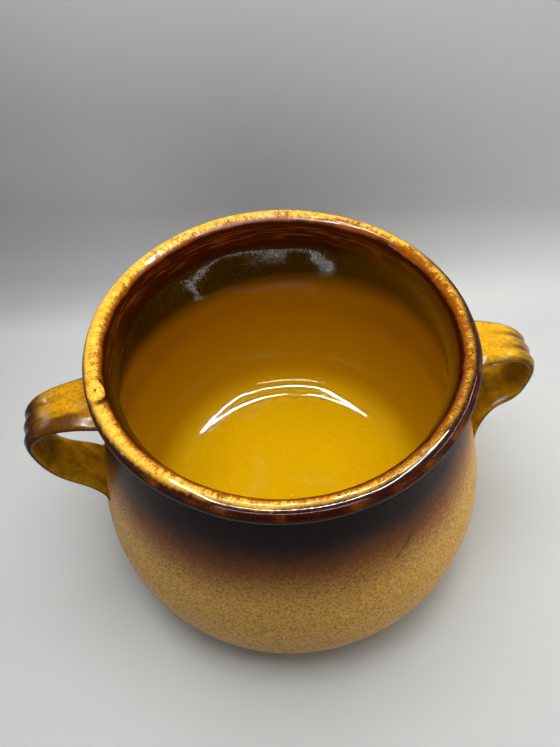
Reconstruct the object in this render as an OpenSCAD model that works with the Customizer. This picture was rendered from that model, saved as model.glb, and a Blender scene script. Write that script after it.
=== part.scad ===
// Glazed terracotta pot with a rolled rim and two ribbed strap handles.
// One fired piece. Origin on the ground under the axis, +Z up, handles towards -X and +X.

/* [Rim] */
// Thickness of the round bead that edges the rim
bead_d = 8.7; // [7:0.1:10]
// How far the bead stands out beyond the neck, all round
bead_overhang = 6.75; // [5:0.25:9]
// Slope of the inside of the rim, from the horizontal
rim_flare = 68; // [60:1:76]

/* [Body] */
// Height from the ground to the top of the rim
pot_h = 155.5; // [145:0.5:170]
// Widest diameter of the belly
belly_d = 202; // [190:1:216]
// Height of the widest place above the ground
belly_z = 45; // [40:1:50]
// Outer diameter of the neck, just under the bead
neck_d = 150.5; // [144:0.5:154]
// Depth of the neck below the top of the rim
neck_drop = 12.5; // [11:0.5:15]
// Radius of the round stretch between the belly and the straight shoulder
shoulder_arc_r = 87; // [70:1:105]
// Thickness of the wall
wall = 5.5; // [4.5:0.1:6.5]

/* [Base] */
// Diameter at which the lower wall meets the ground
foot_d = 140; // [134:1:150]
// Radius that softens the outer edge of the foot
foot_edge_r = 2.5; // [1:0.5:4]
// Width of the ring that the pot stands on
foot_ring_w = 9; // [6:0.5:14]
// Depth of the recess inside the foot ring
foot_recess = 1.5; // [0.5:0.5:3]
// Thickness of the floor
floor_t = 8; // [6:0.5:10]
// Radius between the floor and the wall inside
floor_fillet_r = 16; // [10:1:22]

/* [Handles] */
// How far each handle stands out beyond the rim
handle_reach = 34; // [28:1:40]
// Depth of the upper root below the top of the rim
handle_drop = 22.5; // [20:0.5:26]
// Height from the lower root to the upper root
handle_span = 61.5; // [56:0.5:70]
// Depth of the outermost bend below the upper root
handle_bend = 14; // [10:0.5:18]
// Width of the strap at its outer bend
strap_w = 21.5; // [18:0.5:28]
// Width of the strap where it is pressed on the wall
strap_root_w = 33; // [26:0.5:36]
// Thickness of the strap
strap_t = 5.4; // [4.5:0.1:7]
// Depth of the two grooves that finger marks leave along the strap
groove_depth = 0.9; // [0.3:0.1:1.5]
// Turn of each handle towards the front
handle_turn = 5; // [0:1:8]

/* [Hidden] */
$fn = 180;
ARC_STEPS = 16;
BEAD_STEPS = 26;
STRAP_STEPS = 14;
FACE_STEPS = 7;
EDGE_STEPS = 5;
FILLET_STEPS = 8;
RIBS = 3;
// Shape of the strap's centre line: each pull is a share of a distance that the strap covers
ROOT_OUT = 0.57;
ROOT_RISE = 0.14;
BEND_LIFT = 1.05;
BEND_FALL = 0.72;
FOOT_RISE = 0.69;
// Thickness that is left at the lower root, as a share of the strap's
LOWER_ROOT_THIN = 0.55;
// Angle at which the underside of the bead meets the neck
BEAD_UNDER_ANGLE = -115;
clay = [0.76, 0.55, 0.27];
bead_r = bead_d / 2;
belly_r = belly_d / 2;
foot_r = foot_d / 2;
neck_r = neck_d / 2;
rim_r = neck_r + bead_overhang;
neck_z = pot_h - neck_drop;
// Lower wall: an arc that is upright at the belly and ends on the ground
lower_arc_r = (pow(belly_z, 2) + pow(belly_r - foot_r, 2)) / (2 * (belly_r - foot_r));
lower_c = [belly_r - lower_arc_r, belly_z];
// Shoulder: an arc that is upright at the belly, then a straight line that touches it
upper_c = [belly_r - shoulder_arc_r, belly_z];
neck_from_c = [neck_r, neck_z] - upper_c;
shoulder_slope = atan2(neck_from_c[1], neck_from_c[0]) - acos(shoulder_arc_r / norm(neck_from_c));
shoulder_end = upper_c + shoulder_arc_r * [cos(shoulder_slope), sin(shoulder_slope)];
// Soft outer edge of the foot, inside the lower arc
edge_c = [lower_c[0] + sqrt(pow(lower_arc_r - foot_edge_r, 2) - pow(belly_z - foot_edge_r, 2)), foot_edge_r];
edge_angle = atan2(edge_c[1] - lower_c[1], edge_c[0] - lower_c[0]);
// Inside of the lower wall and the fillet that joins it to the floor
inner_arc_r = lower_arc_r - wall;
fillet_z = floor_t + floor_fillet_r;
fillet_c = [lower_c[0] + sqrt(pow(inner_arc_r - floor_fillet_r, 2) - pow(belly_z - fillet_z, 2)), fillet_z];
fillet_angle = atan2(fillet_c[1] - lower_c[1], fillet_c[0] - lower_c[0]);
// Bead, and the point where the inside of the rim leaves it
bead_c = [rim_r - bead_r, pot_h - bead_r];
bead_in_angle = 90 + rim_flare;
neck_in = [neck_r, neck_z] - wall * [cos(shoulder_slope), sin(shoulder_slope)];
// Handle centre line, from the upper root to the lower root, in a radial plane
upper_root_z = pot_h - handle_drop;
lower_root_z = upper_root_z - handle_span;
bend_z = upper_root_z - handle_bend;
root_t = LOWER_ROOT_THIN * strap_t;
upper_root = [outer_r(upper_root_z) - wall / 2, upper_root_z];
lower_root = [outer_r(lower_root_z) - wall / 2, lower_root_z];
bend = [rim_r + handle_reach - strap_t / 2, bend_z];
stand_out = bend[0] - upper_root[0];
fall = bend_z - lower_root_z;
root_pull = stand_out * [ROOT_OUT, ROOT_RISE];
upper_path = [upper_root, upper_root + root_pull, bend + [0, BEND_LIFT * handle_bend], bend];
lower_path = [bend, bend - [0, BEND_FALL * fall], lower_root + [0, FOOT_RISE * fall], lower_root];

// Points of an arc about c, from angle a to angle b
function arc(c, r, a, b, n = ARC_STEPS) = [
    for (i = [0:n])
        let (t = a + (b - a) * i / n)
            c + r * [cos(t), sin(t)]
];

// Outer radius of the body at height z
function outer_r(z) =
    z < belly_z ? lower_c[0] + sqrt(pow(lower_arc_r, 2) - pow(belly_z - z, 2))
    : z < shoulder_end[1] ? upper_c[0] + sqrt(pow(shoulder_arc_r, 2) - pow(z - belly_z, 2))
    : neck_r + (neck_z - z) * tan(shoulder_slope);

// Point and slope of a cubic curve through four control points, at u from 0 to 1
function curve(p, u) =
    pow(1 - u, 3) * p[0] + 3 * pow(1 - u, 2) * u * p[1] + 3 * (1 - u) * u * u * p[2] + pow(u, 3) * p[3];
function slope(p, u) =
    pow(1 - u, 2) * (p[1] - p[0]) + 2 * (1 - u) * u * (p[2] - p[1]) + u * u * (p[3] - p[2]);

// 1 at both roots of the strap, 0 at its middle
function near_root(s) = pow(1 - sin(180 * s), 2);

// Half the width and half the thickness of the strap at s from 0 to 1 along it
function half_w(s) = (strap_w + (strap_root_w - strap_w) * near_root(s)) / 2;
function half_t(s) = (s < 0.5 ? strap_t : strap_t + (root_t - strap_t) * near_root(s)) / 2;

// Edge of the strap's section: v runs across it from -1 to 1, side is 1 outside and -1 inside
function swell(v) = sqrt(1 - pow(v, 4));
function rib(v) = groove_depth * (1 - cos(180 * RIBS * v)) / 2;
function face_h(v, side, t) = side * swell(v) * (t - (side > 0 ? rib(v) : 0));
function across(i) = sin(90 * i / FACE_STEPS);

// Section as [across, height], once round: outer face, then inner face
function section(t) = concat(
    [for (i = [-FACE_STEPS:FACE_STEPS]) [across(i), face_h(across(i), 1, t)]],
    [for (i = [FACE_STEPS - 1:-1:1 - FACE_STEPS]) [across(i), face_h(across(i), -1, t)]]
);

// A ring of the strap: the section set square to the centre line and bent to the round wall at the roots
function seat(s, y, z) = near_root(s) * (outer_r(z) - sqrt(pow(outer_r(z), 2) - y * y));
function ring_points(c, dir, s) = [
    for (p = section(half_t(s)))
        let (y = p[0] * half_w(s), n = [-dir[1], dir[0]] / norm(dir))
            [c[0] + n[0] * p[1] - seat(s, y, c[1]), y, c[1] + n[1] * p[1]]
];

module body() {
    outside = concat(
        arc(edge_c, foot_edge_r, -90, edge_angle, EDGE_STEPS),
        arc(lower_c, lower_arc_r, edge_angle, 0),
        arc(upper_c, shoulder_arc_r, 0, shoulder_slope),
        [[neck_r, neck_z]]
    );
    rim = arc(bead_c, bead_r, BEAD_UNDER_ANGLE, bead_in_angle, BEAD_STEPS);
    inside = concat(
        [neck_in],
        arc(upper_c, shoulder_arc_r - wall, shoulder_slope, 0),
        arc(lower_c, inner_arc_r, 0, fillet_angle),
        arc(fillet_c, floor_fillet_r, fillet_angle, -90, FILLET_STEPS),
        [[0, floor_t]]
    );
    ring_r = edge_c[0] - foot_ring_w;
    base = [[0, foot_recess], [ring_r - foot_recess, foot_recess], [ring_r, 0]];
    rotate_extrude()
        polygon(concat(outside, rim, inside, base));
}

module strap_handle() {
    steps = 2 * STRAP_STEPS;
    rings = [
        for (i = [0:steps])
            let (s = i / steps, p = s <= 0.5 ? upper_path : lower_path, u = s <= 0.5 ? 2 * s : 2 * s - 1)
                ring_points(curve(p, u), slope(p, u), s)
    ];
    around = 4 * FACE_STEPS;
    sides = [
        for (i = [0:steps - 1], j = [0:around - 1])
            let (k = (j + 1) % around, a = i * around, b = a + around)
                each [[a + j, a + k, b + k], [a + j, b + k, b + j]]
    ];
    last = steps * around;
    ends = [
        for (j = [1:around / 2 - 1])
            let (k = around - j, m = (around - j + 1) % around)
                each [
                    [m, k, j], [m, j, j - 1],
                    [last + m, last + j, last + k], [last + m, last + j - 1, last + j]
                ]
    ];
    tips = [
        [around / 2, around / 2 - 1, around / 2 + 1],
        [last + around / 2, last + around / 2 + 1, last + around / 2 - 1]
    ];
    polyhedron([for (r = rings) each r], concat(sides, ends, tips));
}

module pot() {
    color(clay)
        union() {
            body();
            rotate(-handle_turn)
                strap_handle();
            mirror([1, 0, 0])
                rotate(-handle_turn)
                    strap_handle();
        }
}

pot();
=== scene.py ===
"""Glazed terracotta pot: its fired surface, built around the packed model, and the stage it stands on."""

import math

import bpy
import numpy as np
from bpy.props import FloatProperty, FloatVectorProperty, PointerProperty
from mathutils import Matrix, Vector, kdtree


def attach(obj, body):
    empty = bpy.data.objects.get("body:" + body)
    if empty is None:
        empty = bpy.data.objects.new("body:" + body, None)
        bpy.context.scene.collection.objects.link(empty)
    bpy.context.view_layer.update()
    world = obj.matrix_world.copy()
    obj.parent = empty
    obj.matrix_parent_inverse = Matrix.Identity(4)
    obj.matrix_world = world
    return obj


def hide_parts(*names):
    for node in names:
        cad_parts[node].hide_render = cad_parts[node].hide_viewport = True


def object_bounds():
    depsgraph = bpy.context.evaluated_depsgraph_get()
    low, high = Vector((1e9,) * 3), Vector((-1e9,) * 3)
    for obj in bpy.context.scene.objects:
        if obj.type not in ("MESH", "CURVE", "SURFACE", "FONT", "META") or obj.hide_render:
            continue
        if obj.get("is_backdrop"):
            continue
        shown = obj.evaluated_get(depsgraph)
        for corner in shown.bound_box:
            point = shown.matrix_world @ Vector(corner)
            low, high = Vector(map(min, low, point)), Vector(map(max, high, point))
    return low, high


bl_info = {
    "name": "Glazed terracotta pot",
    "version": (1, 0, 0),
    "blender": (4, 5, 0),
    "location": "3D View > Sidebar > Pot",
    "description": "Builds a two-handled glazed pot and the stage it stands on",
    "category": "Add Mesh",
}

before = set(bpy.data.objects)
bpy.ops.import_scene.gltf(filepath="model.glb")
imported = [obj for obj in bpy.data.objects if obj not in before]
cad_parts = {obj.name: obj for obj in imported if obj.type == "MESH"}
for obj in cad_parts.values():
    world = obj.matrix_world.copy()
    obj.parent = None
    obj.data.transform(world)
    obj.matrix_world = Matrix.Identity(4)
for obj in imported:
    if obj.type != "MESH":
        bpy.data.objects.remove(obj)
CAD_LOW, CAD_HIGH = (Vector(corner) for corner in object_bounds())

PIECE = "pot_fired"
MM = 0.001


def mm(*values):
    """Lengths in metres, from millimetres."""
    return tuple(value * MM for value in values)


# Gap kept inside the CAD box, and how far past it a point may be before it is put back
SKIN = 0.1 * MM
MAX_PAST = 0.6 * MM

# Points round the pot, how much closer they are at the handles, and over how many degrees
AROUND = 288
SIDE_DENSITY = 1.7
SIDE_SPREAD = 15.0
TURN_SAMPLES = 3601
# Distance between the profile's points: at first, on the rim, under the straps, on the wall and on the floor
SAMPLE_STEP, FINE_STEP, SEAT_STEP, WALL_STEP, FLOOR_STEP = mm(0.2, 0.55, 1.4, 2.6, 4.0)
# Softness of the profile's corners and of the neck's inside, and the heights over which that one fades
CORNER_SOFTNESS, NECK_SOFTNESS = mm(0.5, 2.5)
NECK_FADE_IN = mm(128, 136)
NECK_FADE_OUT = mm(151.5, 149)
# Angle on the bead, in degrees, at which its underside meets the neck
BEAD_UNDER = -115
# Lowest place of a strap's root, start of the rim below the neck, and the lean of the rim's middle
SEAT_FROM = 60 * MM
RIM_BELOW = 4 * MM
RIM_LEAN = 0.4

# Points along and round a strap, its ribs, and the depth of the grooves between them
STRAP_ALONG = 64
STRAP_FACE = 19
RIBS = 3
GROOVE = 0.95 * MM
# A strap's thinning and narrowing at its lower root, depth of its ends in the wall, radius of the fillet
LOW_THIN = 0.45
LOW_SPREAD = 1.35
ROOT_SINK = 2.75 * MM
FILLET = 2.6 * MM
# Smaller than any length here
TINY = 1e-12

# Pad of clay on the rim: direction, angle on the bead in degrees, half its length and width, height
KNOT_AZIMUTH = math.radians(-167.3)
KNOT_TURN = 98
KNOT_HALF_LONG, KNOT_HALF_WIDE, KNOT_RISE = mm(6.0, 4.1, 0.3)
# Marks in the glaze: two on the floor inside (a bubble, and a painted glint of pale amber), a smudge and two
# specks outside
BUBBLE = mm(31.5, 59.8, 0)
PAINTED_GLINT = mm(-1.1, -6.1, 0)
SMEAR = (mm(33.5, -82.0, 98.9), mm(40.0, -76.4, 106.7))
SPECKS = (mm(-15.2, -92.1, 83.1), mm(-51.2, -79.1, 80.3))

# Height of the photograph and its lens's focal length, in pixels
IMAGE_HEIGHT = 747
FOCAL_PIXELS = 561
SENSOR = 36.0


def length(name, text, value, low=0, high=2000):
    """A size in metres, given in millimetres."""
    return FloatProperty(name=name, description=text, default=value * MM, min=low * MM, max=high * MM,
                         precision=4, subtype="DISTANCE", unit="LENGTH")


def angle(name, text, degrees, low=-180, high=180):
    """An angle in radians, given in degrees."""
    return FloatProperty(name=name, description=text, default=math.radians(degrees), min=math.radians(low),
                         max=math.radians(high), subtype="ANGLE", unit="ROTATION")


def share(name, text, value, low=0, high=100):
    """A plain number."""
    return FloatProperty(name=name, description=text, default=value, min=low, max=high)


def linear(red, green, blue):
    """A colour as light, from its 0 to 255 screen values."""
    screen = (red / 255, green / 255, blue / 255)
    return tuple(c / 12.92 if c <= 0.04045 else ((c + 0.055) / 1.055) ** 2.4 for c in screen)


def colour(name, text, red, green, blue):
    """A colour, given by its 0 to 255 screen values."""
    return FloatVectorProperty(name=name, description=text, default=linear(red, green, blue), size=3,
                               min=0.0, max=1.0, subtype="COLOR")


class PotBodySizes(bpy.types.PropertyGroup):
    """Sizes of the thrown body."""

    height: length("Height", "Ground to the top of the rim", (CAD_HIGH.z - SKIN) / MM, 120, 200)
    belly_d: length("Belly", "Widest diameter", (CAD_HIGH.y - CAD_LOW.y - 2 * SKIN) / MM, 150, 260)
    belly_z: length("Belly height", "Height of the widest place", 45, 30, 60)
    neck_d: length("Neck", "Diameter under the bead", 150.5, 120, 180)
    neck_drop: length("Neck depth", "Depth of the neck below the top", 12.5, 8, 20)
    bead_d: length("Bead", "Thickness of the bead round the rim", 8.7, 6, 12)
    bead_overhang: length("Bead overhang", "How far the bead stands out beyond the neck", 6.75, 4, 10)
    rim_flare: angle("Rim flare", "Slope of the inside of the rim", 68, 50, 85)
    shoulder_r: length("Shoulder radius", "Radius of the round stretch over the belly", 87, 60, 120)
    wall: length("Wall", "Thickness of the wall", 5.5, 4, 8)
    foot_d: length("Foot", "Diameter where the wall meets the ground", 140, 120, 160)
    foot_edge_r: length("Foot edge", "Radius of the foot's outer edge", 2.5, 1, 5)
    foot_ring_w: length("Foot ring", "Width of the ring the pot stands on", 9, 5, 16)
    foot_recess: length("Foot recess", "Depth inside the foot ring", 1.5, 0.5, 4)
    floor_t: length("Floor", "Thickness of the floor", 8, 5, 12)
    fillet_r: length("Floor radius", "Radius between the floor and the wall inside", 24, 8, 30)
    corner_in: length("Inner corner", "How much thicker the wall is inside, towards the floor", 5.5, 0, 8)
    floor_dish: length("Floor dish", "How far the floor inside rises towards the wall", 1.5, 0, 4)
    rim_oval: share("Rim oval", "How far the rim is out of round", 0.01, 0, 0.05)
    rim_oval_turn: angle("Rim oval turn", "Direction in which the rim is widest", 129)
    rim_lean_x: angle("Rim lean side to side", "Tilt of the rim towards a handle", -0.48, -3, 3)
    rim_lean_y: angle("Rim lean back to front", "Tilt of the rim towards the front", 0.19, -3, 3)


# Each size of a strap: key, name, what it is, left and right value in degrees or millimetres
STRAP_SIZES = (
    ("turn_top", "Upper turn", "Turn of the upper root towards the front", 5.6, 4.4),
    ("turn_low", "Lower turn", "Turn of the lower root towards the front", 5.2, 3.4),
    ("top_z", "Upper root", "Height of the upper root", 134.3, 131.3),
    ("bend_r", "Bend reach", "Distance of the bend from the axis", 112.7, 113.1),
    ("bend_z", "Bend height", "Height of the outermost bend", 122.4, 115.5),
    ("low_z", "Lower root", "Height of the lower root", 71.2, 71.6),
    ("top_w", "Upper width", "Half the width at the upper root", 16.8, 16.7),
    ("bend_w", "Bend width", "Half the width at the bend", 10.95, 10.2),
    ("low_w", "Lower width", "Half the width at the lower root", 15.75, 19.2),
    ("out", "Pull out", "How far the strap runs out of its upper root", 22.1, 21.3),
    ("rise", "Rise", "How far the strap rises from its upper root", 5.7, 5.2),
    ("lift", "Lift", "Roundness above the bend", 14.9, 14.15),
    ("fall", "Fall", "Roundness below the bend", 34.1, 34.45),
    ("foot", "Foot", "How long the strap follows the wall at its lower root", 24.6, 41.9),
    ("thick", "Thickness", "Thickness of the strap", 5.4, 5.2),
)


def strap_group(side, column):
    """A property group that holds one strap's sizes."""
    held = {}
    for key, name, text, *values in STRAP_SIZES:
        make = angle if key.startswith("turn") else length
        held[key] = make(name, text, values[column])
    return type(f"Pot{side}StrapSizes", (bpy.types.PropertyGroup,),
                {"__annotations__": held, "__doc__": f"Sizes of the {side.lower()} strap."})


PotLeftStrapSizes = strap_group("Left", 0)
PotRightStrapSizes = strap_group("Right", 1)


class PotGlazeColours(bpy.types.PropertyGroup):
    """Colours of the glazes and the clay."""

    amber: colour("Amber", "Glaze on the floor inside", 217, 169, 4)
    amber_deep: colour("Deep amber", "Glaze where it pools", 210, 160, 4)
    # Darker than the floor's amber: partly thicker glaze, partly painted shade on the wall
    wall_amber_shaded: colour("Wall amber", "Thicker glaze on the wall inside", 177, 127, 2)
    # Dark brown for the painted shade on the inside wall under the rim
    shade_under_rim: colour("Umber", "Brown spray inside, under the rim", 44, 14, 1)
    rim_bright: colour("Rim amber", "Thin glaze on top of the rim", 238, 188, 70)
    rim_amber: colour("Rim gold", "Streaks in the amber of the rim", 192, 124, 20)
    rim_rust: colour("Rim rust", "Glaze that breaks orange brown", 124, 62, 4)
    rim_plum: colour("Rim plum", "Glaze that breaks purple brown on the outer edge", 42, 18, 12)
    rim_dark: colour("Rim brown", "Darkest glaze under the rim's two edges", 48, 14, 3)
    band: colour("Band", "Dark band under the rim", 30, 12, 9)
    band_fade: colour("Band edge", "Brown where the band fades out", 116, 56, 0)
    body: colour("Body", "Satin tan glaze of the body", 226, 173, 76)
    # Greyer tan near the foot: painted reflection of the pale floor
    body_low_sheen: colour("Body, low", "Tan glaze near the foot", 206, 163, 84)
    strap: colour("Left strap", "Amber glaze of the left strap", 184, 136, 14)
    strap_right: colour("Right strap", "Amber glaze of the right strap", 230, 176, 30)
    strap_olive: colour("Strap olive", "Glaze on the inner face of the straps", 214, 160, 8)
    strap_dark: colour("Strap brown", "Brown glaze on the straps' edges and bends", 44, 14, 6)
    clay: colour("Clay", "Bare clay under the foot", 186, 116, 76)


class PotStageSettings(bpy.types.PropertyGroup):
    """Floor, light and camera."""

    floor: colour("Floor", "Pale floor", 208, 210, 208)
    # Grey of the backdrop: painted shade where the pale sheet rises behind the pot
    wall: colour("Backdrop colour", "Grey of the backdrop", 176, 177, 179)
    lens: share("Lens", "Focal length in millimetres", FOCAL_PIXELS * SENSOR / IMAGE_HEIGHT)
    aim_z: length("Aim height", "Height the camera turns about", 151.05)
    distance: length("Distance", "From the camera to the aim point", 235.2)
    elevation: angle("Elevation", "Camera's height as an angle", 49.05)
    swing: angle("Swing", "Camera's turn about the pot", -5)
    pan: angle("Pan", "Camera's turn to the side", 0.2288)
    tilt: angle("Tilt", "Camera's turn up or down", -3.896)
    roll: angle("Roll", "Camera's lean", 5.04)
    turn: angle("Backdrop turn", "Turn of the backdrop and the lights about the pot", -12)
    back_top: length("Backdrop height", "Height of the backdrop", 310)
    back_from: length("Backdrop", "Distance behind the pot where the sweep starts to rise", 145)
    back_curve: length("Backdrop curve", "Radius of the sweep's rise", 62)
    strip_z: length("Strip height", "Height of the light strips", 400)
    strip_w: length("Strip width", "Width of the light strips", 6)
    strip_glow: share("Strip glow", "Brightness of the light strips, where 1 is white", 850, 0, 2000)
    fill_z: length("Fill height", "Height of the soft light overhead", 500)
    fill_x: length("Fill side", "How far the soft light hangs to the right", -8, -500, 500)
    side_x: length("Side light, across", "How far the soft light at the right stands from the pot", 560)
    side_y: length("Side light, back", "How far back the soft light at the right stands", -120, -2000, 2000)
    side_z: length("Side light height", "Height of the soft light at the right", 130)
    side_size: length("Side light size", "Width of the soft light at the right", 260)
    side_power: share("Side light power", "Watts of the soft light at the right", 1.1)
    fill_size: length("Fill size", "Width of the soft light overhead", 310)
    fill_power: share("Fill power", "Watts of the soft light overhead", 2.75)


# Geometry of the body


def arc(centre, radius, start, end, steps=48):
    """Points of an arc, with angles in degrees."""
    t = np.radians(np.linspace(start, end, steps + 1))
    return np.column_stack((centre[0] + radius * np.cos(t), centre[1] + radius * np.sin(t)))


def smoothstep(low, high, x):
    """0 below low, 1 above high and smooth between them."""
    t = np.clip((x - low) / (high - low), 0.0, 1.0)
    return t * t * (3 - 2 * t)


def soften(line, softness):
    """Evenly spaced points of a line, blurred over a distance."""
    reach = int(4 * softness / SAMPLE_STEP)
    bell = np.exp(-0.5 * (np.arange(-reach, reach + 1) * SAMPLE_STEP / softness) ** 2)
    padded = np.vstack((np.repeat(line[:1], reach, 0), line, np.repeat(line[-1:], reach, 0)))
    return np.column_stack([np.convolve(padded[:, k], bell / bell.sum(), "valid") for k in (0, 1)])


class Wall:
    """The pot's wall as radius and height, worked out from the body's sizes."""

    def __init__(self, b):
        self.b = b
        self.belly_r = b.belly_d / 2
        self.neck_r = b.neck_d / 2
        self.neck_z = b.height - b.neck_drop
        foot_in = self.belly_r - b.foot_d / 2
        self.lower_r = (b.belly_z ** 2 + foot_in ** 2) / (2 * foot_in)
        self.lower_c = np.array((self.belly_r - self.lower_r, b.belly_z))
        self.upper_c = np.array((self.belly_r - b.shoulder_r, b.belly_z))
        to_neck = np.array((self.neck_r, self.neck_z)) - self.upper_c
        self.slope = math.atan2(to_neck[1], to_neck[0]) - math.acos(b.shoulder_r / np.hypot(*to_neck))
        self.shoulder_z = b.belly_z + b.shoulder_r * math.sin(self.slope)
        self.bead_r = b.bead_d / 2
        self.bead_c = np.array((self.neck_r + b.bead_overhang - self.bead_r, b.height - self.bead_r))

    def outer_r(self, z):
        """Outer radius of the body at height z."""
        low = self.lower_c[0] + np.sqrt(np.maximum(0, self.lower_r ** 2 - (self.b.belly_z - z) ** 2))
        high = self.upper_c[0] + np.sqrt(np.maximum(0, self.b.shoulder_r ** 2 - (z - self.b.belly_z) ** 2))
        straight = self.neck_r + (self.neck_z - z) * math.tan(self.slope)
        return np.where(z < self.b.belly_z, low, np.where(z < self.shoulder_z, high, straight))

    def middle_r(self, z):
        """Radius of the middle of the wall at height z."""
        above = np.maximum(0, z - self.neck_z)
        return self.outer_r(np.minimum(z, self.neck_z)) - self.b.wall / 2 + RIM_LEAN * above

    def small_arc(self, around, radius, z):
        """Middle, at height z, of a small arc that touches the lower wall's arc, and the angle there."""
        across = math.sqrt((around - radius) ** 2 - (self.b.belly_z - z) ** 2)
        return (self.lower_c[0] + across, z), math.degrees(math.atan2(z - self.b.belly_z, across))

    def corners(self):
        """The whole section, from the middle of the base out, up, over the rim and down inside."""
        b = self.b
        inner_r = self.lower_r - b.wall
        edge, edge_turn = self.small_arc(self.lower_r, b.foot_edge_r, b.foot_edge_r)
        fillet, fillet_turn = self.small_arc(inner_r, b.fillet_r, b.floor_t + b.fillet_r)
        slope = math.degrees(self.slope)
        inward = b.wall * np.array((math.cos(self.slope), math.sin(self.slope)))
        neck_in = np.array((self.neck_r, self.neck_z)) - inward
        ring_in = edge[0] - b.foot_ring_w
        return np.vstack((
            [(0, b.foot_recess), (ring_in - b.foot_recess, b.foot_recess), (ring_in, 0)],
            arc(edge, b.foot_edge_r, -90, edge_turn),
            arc(self.lower_c, self.lower_r, edge_turn, 0),
            arc(self.upper_c, b.shoulder_r, 0, slope),
            [(self.neck_r, self.neck_z)],
            arc(self.bead_c, self.bead_r, BEAD_UNDER, 90 + math.degrees(b.rim_flare)),
            [neck_in],
            arc(self.upper_c, b.shoulder_r - b.wall, slope, 0),
            arc(self.lower_c, inner_r, 0, fillet_turn),
            arc(fillet, b.fillet_r, fillet_turn, -90),
            [(0, b.floor_t)],
        ))

    def profile(self):
        """The section with softened corners, close points on the rim and wider ones on the wall and floor."""
        corners = self.corners()
        run = np.concatenate(([0], np.cumsum(np.hypot(*np.diff(corners, axis=0).T))))
        keep = np.concatenate(([True], np.diff(run) > TINY))
        corners, run = corners[keep], run[keep]
        t = np.linspace(0, run[-1], int(run[-1] / SAMPLE_STEP))
        fine = np.column_stack([np.interp(t, run, corners[:, k]) for k in (0, 1)])
        soft = soften(fine, CORNER_SOFTNESS)
        soft[:, 1] = np.maximum(soft[:, 1], 0)
        soft[0], soft[-1] = fine[0], fine[-1]
        outside = soft[:, 0] > self.middle_r(soft[:, 1])
        near = smoothstep(*NECK_FADE_IN, soft[:, 1]) * smoothstep(*NECK_FADE_OUT, soft[:, 1]) * ~outside
        soft += (soften(fine, NECK_SOFTNESS) - soft) * near[:, None]
        seat = outside & (soft[:, 1] > SEAT_FROM) & (soft[:, 1] < self.neck_z)
        rim = soft[:, 1] > self.neck_z - RIM_BELOW
        flat = ~outside & (soft[:, 1] < self.b.floor_t + MM)
        step = np.select([rim, seat, flat], [FINE_STEP, SEAT_STEP, FLOOR_STEP], WALL_STEP)
        weight = np.concatenate(([0], np.cumsum(SAMPLE_STEP / step[1:])))
        places = np.linspace(0, weight[-1], int(weight[-1]) + 1)
        return np.column_stack([np.interp(places, weight, soft[:, k]) for k in (0, 1)])


def azimuths():
    """Directions round the pot, closer together at the handles."""
    t = np.linspace(-180, 180, TURN_SAMPLES)
    from_side = np.minimum(np.abs(t), 180 - np.abs(t))
    weight = 1 + SIDE_DENSITY * np.exp(-((from_side / SIDE_SPREAD) ** 2))
    total = np.concatenate(([0], np.cumsum((weight[1:] + weight[:-1]) / 2)))
    return np.radians(np.interp(np.arange(AROUND) * total[-1] / AROUND, total, t))


def object_from(name, data):
    """An object in the scene."""
    thing = bpy.data.objects.new(name, data)
    bpy.context.scene.collection.objects.link(thing)
    return thing


def mesh_from(name, points, faces):
    """A mesh object in the scene."""
    mesh = bpy.data.meshes.new(name)
    mesh.from_pydata(points, [], faces)
    mesh.validate()
    return object_from(name, mesh)


def band_faces(rings, count, flip=False):
    """The faces between closed rings of points that follow each other."""
    j = np.arange(count)
    k = (j + 1) % count
    faces = []
    for i in range(rings - 1):
        a, b = i * count, (i + 1) * count
        corners = (a + j, b + j, b + k, a + k) if flip else (a + j, a + k, b + k, b + j)
        faces += np.stack(corners, axis=1).tolist()
    return faces


def throw_body(wall):
    """The body as one closed surface of revolution."""
    section = wall.profile()
    turn = azimuths()
    rings = section[1:-1]
    points = np.stack((
        rings[:, :1] * np.cos(turn), rings[:, :1] * np.sin(turn), np.repeat(rings[:, 1:], AROUND, 1)
    ), axis=2).reshape(-1, 3)
    last = len(points)
    points = np.vstack((points, [(0, 0, section[0, 1])], [(0, 0, section[-1, 1])]))
    j = np.arange(AROUND)
    k = (j + 1) % AROUND
    faces = band_faces(len(rings), AROUND)
    faces += np.stack((k, j, np.full(AROUND, last)), axis=1).tolist()
    top = (len(rings) - 1) * AROUND
    faces += np.stack((top + j, top + k, np.full(AROUND, last + 1)), axis=1).tolist()
    return mesh_from("thrown_body", points, faces)


# Geometry of the straps


def cubic(p, u):
    """Points of a cubic curve at each u."""
    u = u[:, None]
    return (1 - u) ** 3 * p[0] + 3 * (1 - u) ** 2 * u * p[1] + 3 * (1 - u) * u ** 2 * p[2] + u ** 3 * p[3]


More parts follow.
